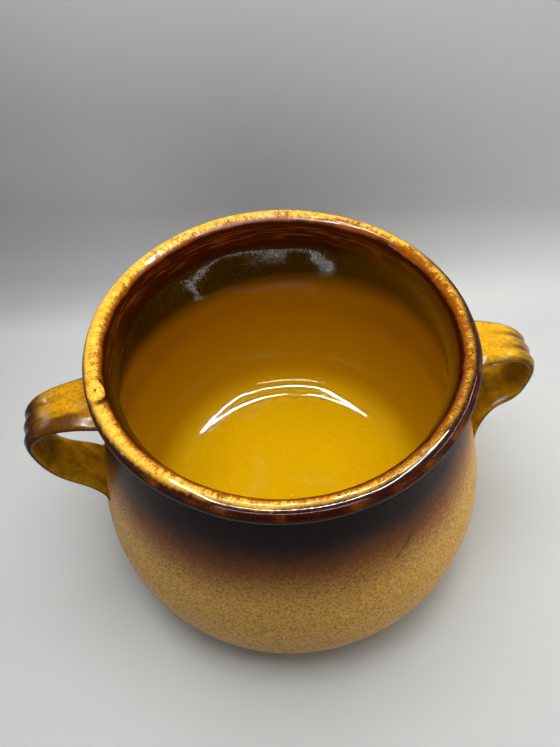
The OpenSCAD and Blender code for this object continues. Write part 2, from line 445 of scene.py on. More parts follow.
def pull_strap(wall, s, side):
    """One strap as a closed sweep with its two ends inside the wall. Also gives each point's place on it."""
    root = np.array((wall.outer_r(s.top_z) - ROOT_SINK, s.top_z))
    bend = np.array((s.bend_r, s.bend_z))
    low = np.array((wall.outer_r(s.low_z) - ROOT_SINK, s.low_z))
    half = np.linspace(0, 1, STRAP_ALONG // 2 + 1)
    upper = cubic([root, root + (s.out, s.rise), bend + (0, s.lift), bend], half)
    lower = cubic([bend, bend - (0, s.fall), low + (MM, s.foot), low], half)
    line = np.vstack((upper, lower[1:]))
    u = np.linspace(0, 1, len(line))
    along = np.gradient(line, axis=0)
    along /= np.linalg.norm(along, axis=1)[:, None]
    normal = np.column_stack((-along[:, 1], along[:, 0]))
    at_root = (1 - np.sin(np.pi * u)) ** 2
    spread = np.where(u < 0.5, at_root, (1 - np.sin(np.pi * u)) ** LOW_SPREAD)
    width = s.bend_w + (np.where(u < 0.5, s.top_w, s.low_w) - s.bend_w) * spread
    thick = s.thick / 2 * np.where(u < 0.5, 1, 1 - LOW_THIN * at_root)
    ease = u * u * (3 - 2 * u)
    turn = -side * (s.turn_top + (s.turn_low - s.turn_top) * ease) + (0 if side > 0 else math.pi)
    quarter = np.sin(np.linspace(-np.pi / 2, np.pi / 2, STRAP_FACE))
    v = np.concatenate((quarter, quarter[-2:0:-1]))
    face = np.concatenate((np.ones(STRAP_FACE), -np.ones(STRAP_FACE - 2)))
    rib = (1 - np.cos(np.pi * RIBS * v)) / 2 * (face > 0) * (1 - v ** 8)
    depth = GROOVE * (0.35 + 0.65 * np.sin(np.pi * u))
    off = face * np.sqrt(1 - v ** 4) * (thick[:, None] - depth[:, None] * rib)
    y = width[:, None] * v
    z = line[:, 1:] + normal[:, 1:] * off
    here = wall.outer_r(z)
    seat = at_root[:, None] * (here - np.sqrt(here ** 2 - y ** 2))
    r = line[:, :1] + normal[:, :1] * off - seat
    r, y, z = flare(wall, r, y, z)
    c, sn = np.cos(turn)[:, None], np.sin(turn)[:, None]
    points = np.stack((r * c - y * sn, r * sn + y * c, z), axis=2)
    places = np.stack(np.broadcast_arrays(u[:, None], v, face), axis=2).reshape(-1, 3)
    count = len(v)
    faces = band_faces(len(u), count, flip=True)
    faces.append(list(range(count)))
    end = (len(u) - 1) * count
    faces.append([end + n for n in range(count - 1, -1, -1)])
    name = "strap_right" if side > 0 else "strap_left"
    return mesh_from(name, points.reshape(-1, 3), faces), points.reshape(-1, 3), places


def flare(wall, r, y, z):
    """Spreads the strap over the wall where it meets it, as a thumbed fillet."""
    clear = (np.hypot(r, y) - wall.outer_r(z)) * math.cos(wall.slope)
    left = np.clip(FILLET - clear, 0, FILLET)
    spread = FILLET - np.sqrt(FILLET ** 2 - left ** 2)
    points = np.stack((r, y, z), axis=2)
    around = np.roll(points, -1, axis=1) - np.roll(points, 1, axis=1)
    along = np.gradient(points, axis=0)
    out = np.cross(around, along)
    out /= np.linalg.norm(out, axis=2, keepdims=True) + TINY
    centre = points.mean(axis=1, keepdims=True)
    out *= np.sign(((points - centre) * out).sum(axis=2, keepdims=True) + TINY)
    flat = np.hypot(r, y)
    wall_out = np.stack((r / flat * math.cos(wall.slope), y / flat * math.cos(wall.slope),
                         np.full_like(r, math.sin(wall.slope))), axis=2)
    sideways = out - (out * wall_out).sum(axis=2, keepdims=True) * wall_out
    points = points + sideways * spread[..., None]
    return points[..., 0], points[..., 1], points[..., 2]


def join(body, straps):
    """The body and its straps as one closed mesh."""
    for strap in straps:
        union = body.modifiers.new("union", "BOOLEAN")
        union.operation = "UNION"
        union.solver = "MANIFOLD"
        union.object = strap
    bpy.context.view_layer.update()
    evaluated = body.evaluated_get(bpy.context.evaluated_depsgraph_get())
    mesh = bpy.data.meshes.new_from_object(evaluated)
    for thing in (body, *straps):
        bpy.data.objects.remove(thing)
    mesh.materials.clear()
    mesh.name = PIECE
    return object_from(PIECE, mesh)


# Places on the surface, for the glazes

# Index of each glaze
INSIDE, BODY, STRAP, FOOT = range(4)
# Reach of the bead's glaze, start of a strap's, height of the bare clay, nearest place of a strap to the axis
BEAD_MARGIN = 0.6 * MM
STRAP_MARGIN = 0.12 * MM
FOOT_BARE_Z = 1.2 * MM
STRAP_FROM = 70 * MM
# Points of a strap from which a point takes its place on it, and a distance below which they count the same
NEAREST = 3
TOUCHING = 0.01 * MM
# Place on the knot of what is far from it
FAR_OFF = 4.0


def read(items, field, width=1, kind=np.int32):
    """One field of all the points, loops or faces of a mesh."""
    values = np.empty(len(items) * width, kind)
    items.foreach_get(field, values)
    return values


def mark_places(pot, wall, strap_points, strap_places):
    """Stores where each point lies on the pot, and which glaze each face has."""
    mesh = pot.data
    points = read(mesh.vertices, "co", 3, np.float32).reshape(-1, 3).astype(float)
    r, z = np.hypot(points[:, 0], points[:, 1]), points[:, 2]
    bead = np.column_stack((r, z)) - wall.bead_c
    bead_turn = np.degrees(np.arctan2(bead[:, 1], bead[:, 0]))
    bead_turn = np.where(bead_turn < BEAD_UNDER, bead_turn + 360, bead_turn)
    outside = r > wall.middle_r(z)
    off_bead = smoothstep(0, 1, (np.hypot(*bead.T) - wall.bead_r) / BEAD_MARGIN)
    below = np.where(outside, BEAD_UNDER, BEAD_UNDER + 360)
    bead_turn = np.where(z > wall.neck_z - RIM_BELOW, bead_turn, below)
    lift = np.clip(r - wall.outer_r(z), 0, None) * outside * (z < wall.neck_z)
    around = np.column_stack((points[:, 0] / np.maximum(r, MM), points[:, 1] / np.maximum(r, MM),
                              bead_turn / 180))
    tree = kdtree.KDTree(len(strap_points))
    for i, p in enumerate(strap_points):
        tree.insert(p, i)
    tree.balance()
    place = np.zeros((len(points), 3))
    near_strap = outside & (np.abs(points[:, 0]) > STRAP_FROM) & (z > SEAT_FROM)
    for i in np.nonzero(near_strap)[0]:
        found = tree.find_n(points[i], NEAREST)
        weights = np.array([1 / (d + TOUCHING) for _, _, d in found])
        place[i] = (strap_places[[n for _, n, _ in found]] * weights[:, None]).sum(0) / weights.sum()
    azimuth = np.arctan2(points[:, 1], points[:, 0])
    from_knot = (azimuth - KNOT_AZIMUTH + np.pi) % (2 * np.pi) - np.pi
    knot = np.column_stack((
        from_knot * wall.bead_c[0] / KNOT_HALF_LONG,
        np.radians(bead_turn - KNOT_TURN) * wall.bead_r / KNOT_HALF_WIDE,
        np.zeros(len(points)),
    ))
    knot[off_bead > 0.5] = FAR_OFF
    for name, values in (("around", around), ("lift", lift / MM), ("strap_place", place), ("level", z / MM),
                         ("off_bead", off_bead), ("knot", np.clip(knot, -FAR_OFF, FAR_OFF))):
        kind, field = ("FLOAT", "value") if values.ndim == 1 else ("FLOAT_VECTOR", "vector")
        held = mesh.attributes.new(name, kind, "POINT")
        held.data.foreach_set(field, values.astype(np.float32).ravel())
    mark_zones(mesh, wall, points)
    return points, bead_turn, np.hypot(*knot[:, :2].T)


def mark_zones(mesh, wall, points):
    """Gives each face the index of its glaze."""
    loops = read(mesh.loops, "vertex_index")
    starts, counts = (read(mesh.polygons, field) for field in ("loop_start", "loop_total"))
    centre = np.add.reduceat(points[loops], starts, axis=0) / counts[:, None]
    r, z = np.hypot(centre[:, 0], centre[:, 1]), centre[:, 2]
    gap = r - wall.outer_r(z)
    bead = np.hypot(r - wall.bead_c[0], z - wall.bead_c[1]) < wall.bead_r + BEAD_MARGIN
    bead |= z > wall.bead_c[1]
    outside = r > wall.middle_r(z)
    strap = outside & ~bead & (gap > STRAP_MARGIN) & (np.abs(centre[:, 0]) > STRAP_FROM) & (z < wall.neck_z)
    foot = (z < FOOT_BARE_Z) | ((z < wall.b.foot_recess + MM) & (r < wall.b.foot_d / 2))
    zone = np.where(bead | ~outside, INSIDE, BODY)
    zone[strap] = STRAP
    zone[foot] = FOOT
    mesh.polygons.foreach_set("material_index", zone.astype(np.int32))


# Marks of the hand and the kiln

RIM_FROM = 100 * MM
# Soft ridge along the bead: angle on it, how far that wanders, width, height
RIDGE_TURN = 116
RIDGE_WANDER = 7
RIDGE_WIDTH = 6
RIDGE_RISE = 0.16 * MM
# Fold inside the rim: angle on the bead, width, direction, where it ends and where it is full, height
FOLD_TURN = 152
FOLD_WIDTH = 7
FOLD_AZIMUTH = 0.28
FOLD_ENDS = (0.32, 0.2)
FOLD_RISE = 0.4 * MM
# Distances from the neck over which the rim's oval and lean fade out on the straps
OVAL_FADE = mm(12, 6)
# Dish of the floor inside: heights over which it fades out, start from the axis, and run
DISH_FADE = mm(36, 20)
DISH_FROM = 10 * MM
DISH_RUN = 56 * MM
# Thicker inner corner: heights over which it fades out, and radii over which it grows
CORNER_FADE = mm(78, 26)
CORNER_GROW = mm(16, 52)
# Unevenness of the thrown wall: height, length and seed, waves in each, and the heights over which it grows
UNEVEN = ((0.22 * MM, 62 * MM, 3), (0.07 * MM, 17 * MM, 4))
WAVES = 6
UNEVEN_GROW = mm(8, 30)


def wander(points, scale, seed):
    """A smooth wandering value from about -1 to 1, from a few slow waves with a fixed seed."""
    draw = np.random.default_rng(seed)
    total = np.zeros(len(points))
    for _ in range(WAVES):
        wave = draw.normal(size=3)
        wave *= draw.uniform(0.6, 1.5) / np.linalg.norm(wave)
        total += np.sin(points @ wave * (2 * np.pi / scale) + draw.uniform(0, 2 * np.pi))
    return total / (WAVES / 2)


def press_rim(wall, points, bead_turn, from_knot):
    """Raises the knot, a soft ridge along the inner edge of the bead, and a fold at the right."""
    r = np.maximum(np.hypot(points[:, 0], points[:, 1]), MM)
    azimuth = np.arctan2(points[:, 1], points[:, 0])
    turn = np.radians(bead_turn)
    on_bead = (points[:, 2] > wall.neck_z - RIM_BELOW) & (np.abs(r - wall.bead_c[0]) < 1.6 * wall.bead_r)
    rise = KNOT_RISE * smoothstep(1.12, 0.86, from_knot)
    ridge_turn = RIDGE_TURN + RIDGE_WANDER * np.sin(2 * azimuth + 1)
    ridge = np.exp(-((bead_turn - ridge_turn) / RIDGE_WIDTH) ** 2)
    rise += RIDGE_RISE * (ridge * np.clip(0.5 + 0.6 * np.sin(azimuth * 3 + 0.6), 0.1, 1))
    fold = np.exp(-((bead_turn - FOLD_TURN) / FOLD_WIDTH) ** 2)
    rise += FOLD_RISE * (fold * smoothstep(*FOLD_ENDS, np.abs(azimuth - FOLD_AZIMUTH)))
    rise *= on_bead
    out = np.column_stack((np.cos(turn) * points[:, 0] / r, np.cos(turn) * points[:, 1] / r, np.sin(turn)))
    return points + out * rise[:, None]


def warp(wall, points, bead_turn, from_knot):
    """Makes the rim slightly oval and leaning, fills the inner corner and leaves the wall a little uneven."""
    b = wall.b
    points = press_rim(wall, points, bead_turn, from_knot)
    x, y, z = points.T
    r = np.maximum(np.hypot(x, y), MM)
    azimuth = np.arctan2(y, x)
    near_neck = smoothstep(*(wall.neck_r + reach for reach in OVAL_FADE), r)
    on_wall = near_neck * smoothstep(RIM_FROM, wall.neck_z, z)
    stretch = 1 + b.rim_oval * np.cos(2 * (azimuth - b.rim_oval_turn)) * on_wall
    x, y = x * stretch, y * stretch
    lean = (np.tan(b.rim_lean_x) * x + np.tan(b.rim_lean_y) * y) * on_wall
    most = (abs(math.tan(b.rim_lean_x)) + abs(math.tan(b.rim_lean_y))) * (wall.neck_r + b.bead_overhang)
    z = z + lean - most * on_wall
    dished = smoothstep(*DISH_FADE, z) * smoothstep(b.floor_t - MM, b.floor_t - 0.2 * MM, z)
    dished *= (r < wall.belly_r - b.wall) & (r < wall.outer_r(z) - b.wall / 2)
    z = z + b.floor_dish * dished * np.clip((r - DISH_FROM) / DISH_RUN, 0, 1) ** 2
    inside = (r < wall.outer_r(z) - b.wall / 2) & (z > b.floor_t - MM)
    thicker = b.corner_in * smoothstep(*CORNER_FADE, z) * smoothstep(*CORNER_GROW, r) * inside
    x, y = x * (1 - thicker / r), y * (1 - thicker / r)
    uneven = sum(height * wander(points, size, seed) for height, size, seed in UNEVEN)
    out = uneven * (smoothstep(*UNEVEN_GROW, z) * (1 - smoothstep(wall.belly_r - 2 * MM, wall.belly_r, r)))
    return np.column_stack((x * (1 + out / r), y * (1 + out / r), z))


def settle(pot, points):
    """Puts the points back, inside the CAD box, and shades the surface smooth."""
    low = np.array(CAD_LOW) + (SKIN, SKIN, 0)
    high = np.array(CAD_HIGH) - SKIN
    over = np.maximum(low - points, points - high).max()
    if over > MAX_PAST:
        raise RuntimeError(f"the pot stands {over / MM:.2f} mm out of the CAD box")
    points = np.clip(points, low, high)
    pot.data.vertices.foreach_set("co", points.astype(np.float32).ravel())
    pot.data.polygons.foreach_set("use_smooth", np.ones(len(pot.data.polygons), bool))
    pot.data.update()


# Shader nodes


class Value:
    """A socket on its way through a node tree. Arithmetic on it adds Math nodes."""

    def __init__(self, nodes, socket):
        self.nodes = nodes
        self.socket = socket

    def __add__(self, other):
        return self.nodes.math("ADD", self, other)

    __radd__ = __add__

    def __sub__(self, other):
        return self.nodes.math("SUBTRACT", self, other)

    def __rsub__(self, other):
        return self.nodes.math("SUBTRACT", other, self)

    def __mul__(self, other):
        return self.nodes.math("MULTIPLY", self, other)

    __rmul__ = __mul__


class Nodes:
    """Adds and links the nodes of one tree."""

    def __init__(self, tree):
        self.tree = tree
        tree.nodes.clear()

    def add(self, kind, settings=None, inputs=None, out=0):
        """A node of any type: its settings first, then its sockets, by name or number."""
        node = self.tree.nodes.new("ShaderNode" + kind)
        for key, value in (settings or {}).items():
            if key == "stops":
                self.ramp_stops(node.color_ramp, value)
            else:
                setattr(node, key, value)
        for key, value in (inputs or {}).items():
            if isinstance(value, Value):
                self.tree.links.new(value.socket, node.inputs[key])
            else:
                node.inputs[key].default_value = value
        return Value(self, node.outputs[out]) if len(node.outputs) else node

    @staticmethod
    def ramp_stops(ramp, stops):
        """Sets a ramp's stops from (place, colour) pairs."""
        while len(ramp.elements) < len(stops):
            ramp.elements.new(1.0)
        for element, (place, shade) in zip(ramp.elements, stops):
            element.position = place
            element.color = (*shade, 1.0)

    def math(self, operation, *values, clamp=False):
        """A Math node on numbers and values."""
        return self.add("Math", {"operation": operation, "use_clamp": clamp}, dict(enumerate(values)))

    def between(self, value, low, high):
        """0 below low, 1 above high and smooth between them."""
        return self.add("MapRange", {"interpolation_type": "SMOOTHSTEP"},
                        {"Value": value, "From Min": low, "From Max": high})

    def mix(self, factor, first, second):
        """A colour between two colours."""
        first, second = (c if isinstance(c, Value) else (*c, 1.0) for c in (first, second))
        settings = {"data_type": "RGBA", "clamp_factor": True}
        return self.add("Mix", settings, {0: factor, 6: first, 7: second}, out=2)

    def wash(self, under, over, value, low, high, most=1.0):
        """A colour laid over another, from none of it where the value is low to the most where it is high."""
        cover = self.between(value, low, high)
        return self.mix(cover if most == 1.0 else cover * most, under, over)

    def noise(self, vector, scale, detail=2.0, rough=0.5):
        """Noise from 0 to 1."""
        inputs = {"Vector": vector, "Scale": scale, "Detail": detail, "Roughness": rough}
        return self.add("TexNoise", {}, inputs)

    def noises(self, vector, *rows):
        """Noises in the same place, each from its scale, detail and roughness."""
        return [self.noise(vector, *row) for row in rows]

    def vector(self, operation, *values, out=0):
        """A Vector Math node."""
        return self.add("VectorMath", {"operation": operation}, dict(enumerate(values)), out=out)

    def stretch(self, vector, *factors):
        """A vector times a factor on each axis."""
        return self.vector("MULTIPLY", vector, factors)

    def held(self, name, kind="Fac"):
        """A value that the mesh holds at its points."""
        return self.add("Attribute", {"attribute_name": name}, out={"Vector": 1, "Fac": 2}[kind])

    def part(self, vector, axis):
        """One axis of a vector."""
        return self.add("SeparateXYZ", {}, {0: vector}, out="XYZ".index(axis))

    def place(self):
        """The point's place in the pot's own frame, in metres."""
        return self.add("TexCoord", out=3)


def finish(build, colours):
    """A material with the name and the surface of the function that builds it from the colours."""
    material = bpy.data.materials.new(build.__name__)
    material.use_nodes = True
    n = Nodes(material.node_tree)
    surface = build(n, colours)
    n.add("OutputMaterial", {}, {"Surface": surface})
    return material


def glossy(n, base, rough, height, strength, depth, level=0.5):
    """A dielectric surface with a bump of a height, a strength and a depth."""
    normal = n.add("Bump", {}, {"Strength": strength, "Distance": depth, "Height": height})
    return n.add("BsdfPrincipled", {}, {
        "Base Color": base, "Roughness": rough, "Normal": normal, "Specular IOR Level": level,
    })


def from_point(n, place, centre):
    """Distance from a point, in millimetres."""
    return n.vector("DISTANCE", place, centre, out="Value") * 1000.0


def from_line(n, place, start, end):
    """Distance from a short line, in millimetres."""
    run = Vector(end) - Vector(start)
    offset = n.vector("SUBTRACT", place, start)
    along = n.vector("DOT_PRODUCT", offset, run / run.length_squared, out="Value")
    along = n.math("MULTIPLY", along, 1.0, clamp=True)
    nearest = n.add("VectorMath", {"operation": "SCALE"}, {0: run, "Scale": along})
    return n.vector("DISTANCE", offset, nearest, out="Value") * 1000.0


# Heights in millimetres over which the glazes change: inside, from the floor up, then outside
WALL_AMBER_SHADE = (9.0, 24.0)
FLOOR_MARKS = (34.0, 30.0)
# Painted shade inside under the rim: heights where its reflection is dulled and where its dark brown comes
# in, both lower at the back
UNDER_RIM_DULL = (92.0, 118.0)
UNDER_RIM_SHADE = (106.0, 134.0)
NECK_BROWN = (136.0, 151.0)
THROWING = (141.0, 148.0)
BODY_SHEEN_FADE = (20.0, 62.0)
BAND_BROWN = (80.0, 112.0)
BAND_DARK = (102.0, 126.0)
# Noises on the rim: scale round the pot, scale over the bead, detail, roughness
RIM_NOISES = ((3.2, 0.3, 2, 0.5), (9, 0.8, 3, 0.5), (38, 5, 3, 0.6), (60, 2.2, 4, 0.65), (150, 22, 3, 0.6))


def rim_glaze(n, c, around, turn):
    """Bright amber on top of the bead, breaking plum and rust on its outer edge, brown on its inner one."""
    slow, wide, blotch, streak, fleck = (
        n.noise(n.stretch(around, across, across, over), 1.0, *grain) for across, over, *grain in RIM_NOISES)
    ragged = (blotch - 0.5) * 38.0 + (fleck - 0.5) * 36.0 + (streak - 0.5) * 16.0
    x, y = n.part(around, "X"), n.part(around, "Y")
    outer_edge = (x * 0.57 - y * 0.82) * 26.0 + 67.0 + (slow - 0.5) * 36.0
    inner_edge = (wide - 0.5) * 46.0 + 128.0 - x * 8.0 + y * 8.0
    bright = n.wash(c.rim_bright, c.rim_amber, streak * 0.45 + fleck * 0.3 + blotch * 0.25, 0.4, 0.6, 0.75)
    rusty = fleck * 0.3 + wide * 0.35 + blotch * 0.35 + x * 0.04 + (turn - 88.0) * 0.0016
    bright = n.wash(bright, c.rim_rust, rusty, 0.5, 0.61, 0.9)
    bright = n.wash(bright, c.rim_rust, turn + ragged - inner_edge, -26.0, 0.0, 0.6)
    plum = n.wash(c.rim_plum, c.rim_rust, streak, 0.5, 0.72, 0.4)
    low = n.wash(c.rim_dark, c.rim_rust, fleck * 0.4 + wide * 0.6, 0.48, 0.62, 0.75)
    under = n.wash(c.rim_dark, low, turn + ragged * 0.3, 6.0, 28.0)
    outside = n.wash(under, plum, turn + ragged * 0.5, 46.0, 62.0)
    rim = n.wash(outside, bright, turn + ragged - outer_edge, -20.0, 18.0)
    rim = n.wash(rim, c.rim_rust, turn + ragged * 0.4 - inner_edge, -13.0, 13.0)
    rim = n.wash(rim, c.rim_dark, turn + ragged * 0.2 - inner_edge, 6.0, 30.0)
    return n.wash(rim, c.rim_dark, fleck * 0.7 + blotch * 0.3, 0.54, 0.66, 0.55)


def press_knot(n, c, rim, around):
    """The pad of clay pressed on the rim, with a dark line round it and a pinhole in its middle."""
    knot = n.held("knot", "Vector")
    uneven = (n.noise(n.stretch(around, 90, 90, 8), 1.0, 3) - 0.5) * 0.3
    reach = n.vector("LENGTH", knot, out="Value")
    line = n.between(reach + uneven, 0.8, 1.0) * n.between(reach + uneven, 1.5, 1.1)
    # Painted shadow: the line round the pad is drawn darker on one side
    shaded = n.between(n.part(knot, "Y") * 1.2 + n.part(knot, "X") * 0.6, -0.4, 0.7) * 0.7 + 0.25
    specks = n.noise(n.stretch(around, 90, 90, 14), 1.0, 3, 0.6)
    pad = n.wash(c.rim_bright, c.rim_amber, specks, 0.44, 0.6)
    rim = n.mix(line * shaded, n.wash(rim, pad, reach + uneven, 0.98, 0.86, 0.8), c.rim_dark)
    return n.wash(rim, c.rim_dark, reach + uneven * 0.4, 0.2, 0.06, 0.9)


def inside_colour(n, c, place, around, level):
    """Even amber under the brown spray that drifted in from the back, and how far the spray dulls it."""
    cloud, grain = n.noises(place, (20, 2), (1100, 3, 0.7))
    amber = n.wash(c.amber, c.amber_deep, cloud, 0.35, 0.7, 0.4)
    # Darker amber up the wall: partly thicker glaze, partly painted shade
    amber = n.wash(amber, c.wall_amber_shaded, level, *WALL_AMBER_SHADE)
    amber = n.wash(amber, c.rim_rust, grain, 0.35, 0.7, 0.2)
    back, left = n.part(around, "Y"), n.part(around, "X") * -1.0
    # Painted shade: dark brown down from the rim inside, reaching lower and darker at the back and a little
    # at the left
    shade_reach = level + back * 14.0 + left * 3.0 + (cloud - 0.5) * 6.0
    brown = n.math("MULTIPLY", n.between(shade_reach, *UNDER_RIM_SHADE), back * 0.5 + left * 0.16 + 0.66, clamp=True)
    inside = n.mix(brown, amber, c.shade_under_rim)
    inside = n.wash(inside, c.rim_dark, level + (cloud - 0.5) * 6.0, *NECK_BROWN, 0.85)
    streaks = n.noise(n.stretch(around, 5, 5, 30), 1.0, 3, 0.6)
    inside = n.wash(inside, c.rim_rust, level, *THROWING, n.between(streaks, 0.48, 0.66) * 0.5)
    return inside, n.between(shade_reach, *UNDER_RIM_DULL)


def amber_glaze(n, c):
    """Glossy glaze of the inside and the rim, with the kiln's marks, duller on the rim and in the spray."""
    place = n.place()
    around = n.held("around", "Vector")
    rim = press_knot(n, c, rim_glaze(n, c, around, n.part(around, "Z") * 180.0), around)
    level = n.held("level")
    inside, dulled_in_shade = inside_colour(n, c, place, around, level)
    off_bead = n.held("off_bead")
    base = n.mix(off_bead, rim, inside)
    flat = n.stretch(place, 1.0, 1.0, 0.0)
    low = n.between(level, *FLOOR_MARKS)
    from_bubble = from_point(n, flat, BUBBLE)
    ring = n.between(from_bubble, 0.7, 1.1) * n.between(from_bubble, 1.8, 1.3) * low
    base = n.mix(ring * 0.85, base, c.rim_dark)
    # Painted glint: a small pale spot on the floor in place of a highlight
    base = n.wash(base, c.rim_bright, from_point(n, flat, PAINTED_GLINT), 1.1, 0.3, low * 0.8)
    ripple, peel, grit, lumps, grain = n.noises(place, (60, 3), (330, 3), (750, 1), (210, 3), (1300, 1))
    height = (ripple * 0.5 + peel * off_bead * 0.12 + grit * off_bead * 0.22 + lumps * (1.0 - off_bead) * 0.03
              - ring * 0.8)
    bump = (height, 0.22, 0.5 * MM)
    glaze = glossy(n, base, 0.03 + n.between(peel, 0.3, 0.8) * 0.02, *bump, level=0.38)
    dull = glossy(n, base, 0.5, *bump, level=0.0)
    # Duller reflection on the rim and under the painted shade inside
    dullness = dulled_in_shade * off_bead * (n.between(grain, 0.4, 0.6) * 0.36 + 0.48) + (1.0 - off_bead) * 0.6
    return n.add("MixShader", {}, {0: dullness, 1: glaze, 2: dull})


def body_glaze(n, c):
    """Satin tan with a fine speckle, under a sprayed dark band that fades out."""
    place = n.place()
    level = n.held("level")
    spray, cloud, grain, smudge = n.noises(place, (600, 3, 0.7), (24, 3), (1200, 2, 0.6), (330, 2))
    # Painted reflection: greyer tan towards the foot, as if the pale floor showed in it
    tan = n.wash(c.body_low_sheen, c.body, level, *BODY_SHEEN_FADE)
    tan = n.wash(tan, c.band_fade, spray, 0.42, 0.68, 0.4)
    tan = n.wash(tan, c.band_fade, grain, 0.48, 0.68, 0.6)
    edge = level + (spray - 0.5) * 10.0 + (cloud - 0.5) * 10.0
    tan = n.wash(tan, c.band_fade, edge, *BAND_BROWN, 0.95)
    base = n.wash(tan, c.band, edge, *BAND_DARK)
    smear = from_line(n, place, *SMEAR) + (spray - 0.5) * 3.0 + (smudge - 0.4) * 4.0
    base = n.wash(base, c.rim_dark, smear, 2.4, 0.2, 0.6)
    for speck in SPECKS:
        base = n.wash(base, c.rim_bright, from_point(n, place, speck), 0.6, 0.3)
    rough = 0.34 + n.between(spray, 0.3, 0.7) * 0.08
    bump = cloud * 0.4 + spray * 0.08 + grain * 0.04
    return glossy(n, base, rough, bump, 0.25, 0.4 * MM, level=0.08)


def strap_glaze(n, c):
    """Gold on the outer face, olive on the inner one, dark on the edges, in the grooves and at the bend."""
    place = n.place()
    where = n.held("strap_place", "Vector")
    along = n.part(where, "X")
    across = n.part(where, "Y")
    outside = n.between(n.part(where, "Z"), -0.4, 0.4)
    left = n.between(n.part(place, "X"), 0.02, -0.02)
    mottle, fleck, cloud = n.noises(place, (150, 4, 0.65), (700, 3, 0.65), (45, 3))
    ragged = (mottle - 0.5) * 0.5 + (cloud - 0.5) * 0.3
    front = across * (left * 2.0 - 1.0)
    edge = n.between(n.math("ABSOLUTE", across) + ragged * 0.8, 0.72, 1.0)
    groove = n.between(0.5 - n.math("COSINE", across * (RIBS * math.pi)) * 0.5 + ragged * 0.5, 0.4, 0.9)
    past_root = n.between(along, 0.1, 0.3)
    bend = n.between(n.math("ABSOLUTE", along + ragged * 0.24 - 0.43), 0.24, 0.11)
    near_rib = n.between(front + ragged * 0.8, 0.3, 0.6) * n.between(along + ragged * 0.2, 0.04, 0.16) * left
    dark = edge * (left * 0.2 + 0.7)
    grooves = groove * past_root * outside * (past_root * 0.45 + 0.45)
    for more in (grooves, bend * (left * 0.35 + 0.65), near_rib * 0.9):
        dark = n.math("MAXIMUM", dark, more)
    gold = n.mix(left, c.strap_right, c.strap)
    gold = n.wash(gold, c.rim_amber, mottle * 0.6 + cloud * 0.4, 0.44, 0.62, left * 0.35 + 0.4)
    gold = n.wash(gold, c.rim_rust, fleck, 0.42, 0.66, left * 0.15 + 0.4)
    olive = n.wash(c.strap_olive, c.rim_rust, mottle, 0.38, 0.66, 0.6)
    olive = n.wash(olive, c.rim_amber, fleck, 0.48, 0.66, 0.4)
    base = n.mix(outside, olive, gold)
    base = n.mix(dark * (outside * 0.55 + 0.4), base, c.strap_dark)
    base = n.wash(base, c.strap_dark, n.held("lift") + ragged * 2.0, 1.5, 0.1, 0.35)
    rough = 0.16 + n.between(mottle, 0.4, 0.7) * 0.1
    return glossy(n, base, rough, mottle * 0.6 + fleck * 0.1, 0.2, 0.4 * MM, level=0.1)


def bare_clay(n, c):
    """Rough fired clay where the glaze was wiped off to stand in the kiln."""
    place = n.place()
    grit, cloud = n.noises(place, (900, 4, 0.7), (60, 3))
    base = n.mix(n.between(grit, 0.4, 0.7) * 0.4 + n.between(cloud, 0.3, 0.7) * 0.2, c.clay, c.band_fade)
    return glossy(n, base, 0.85, grit, 0.6, 0.3 * MM)


# Stage

# Half the sweep's width, and the colour of the faint clouds in its paper
FLOOR_HALF = 1.6
FLOOR_CLOUD = (0.4, 0.4, 0.4)
# The backdrop's painted shade at different heights, as a share of its colour
BACKDROP_PAINTED_SHADE = (
    (0.0, 0.92), (0.003, 0.88), (0.011, 0.7), (0.025, 0.64), (0.05, 0.6),
    (0.09, 0.62), (0.13, 0.71), (0.16, 0.79), (0.21, 0.88),
)
# Light strips overhead: place of the middle, length, quarter turns, share of the power
STRIPS = (
    (0.034, -0.112, 0.26, 0, 1.0), (0.034, 0.078, 0.26, 0, 0.9),
    (-0.096, -0.017, 0.19, 1, 0.9), (0.155, -0.017, 0.19, 1, 0.9),
    (0.04, -0.3, 0.42, 0, 0.35), (-0.43, 0.03, 0.32, 1, 0.5), (0.43, 0.03, 0.32, 1, 0.5),
)
# Distance between the small lamps of a strip, and how bright the gaps between them are
LAMP_PITCH = 11 * MM
LAMP_GAP = (0.12, 0.12, 0.12)


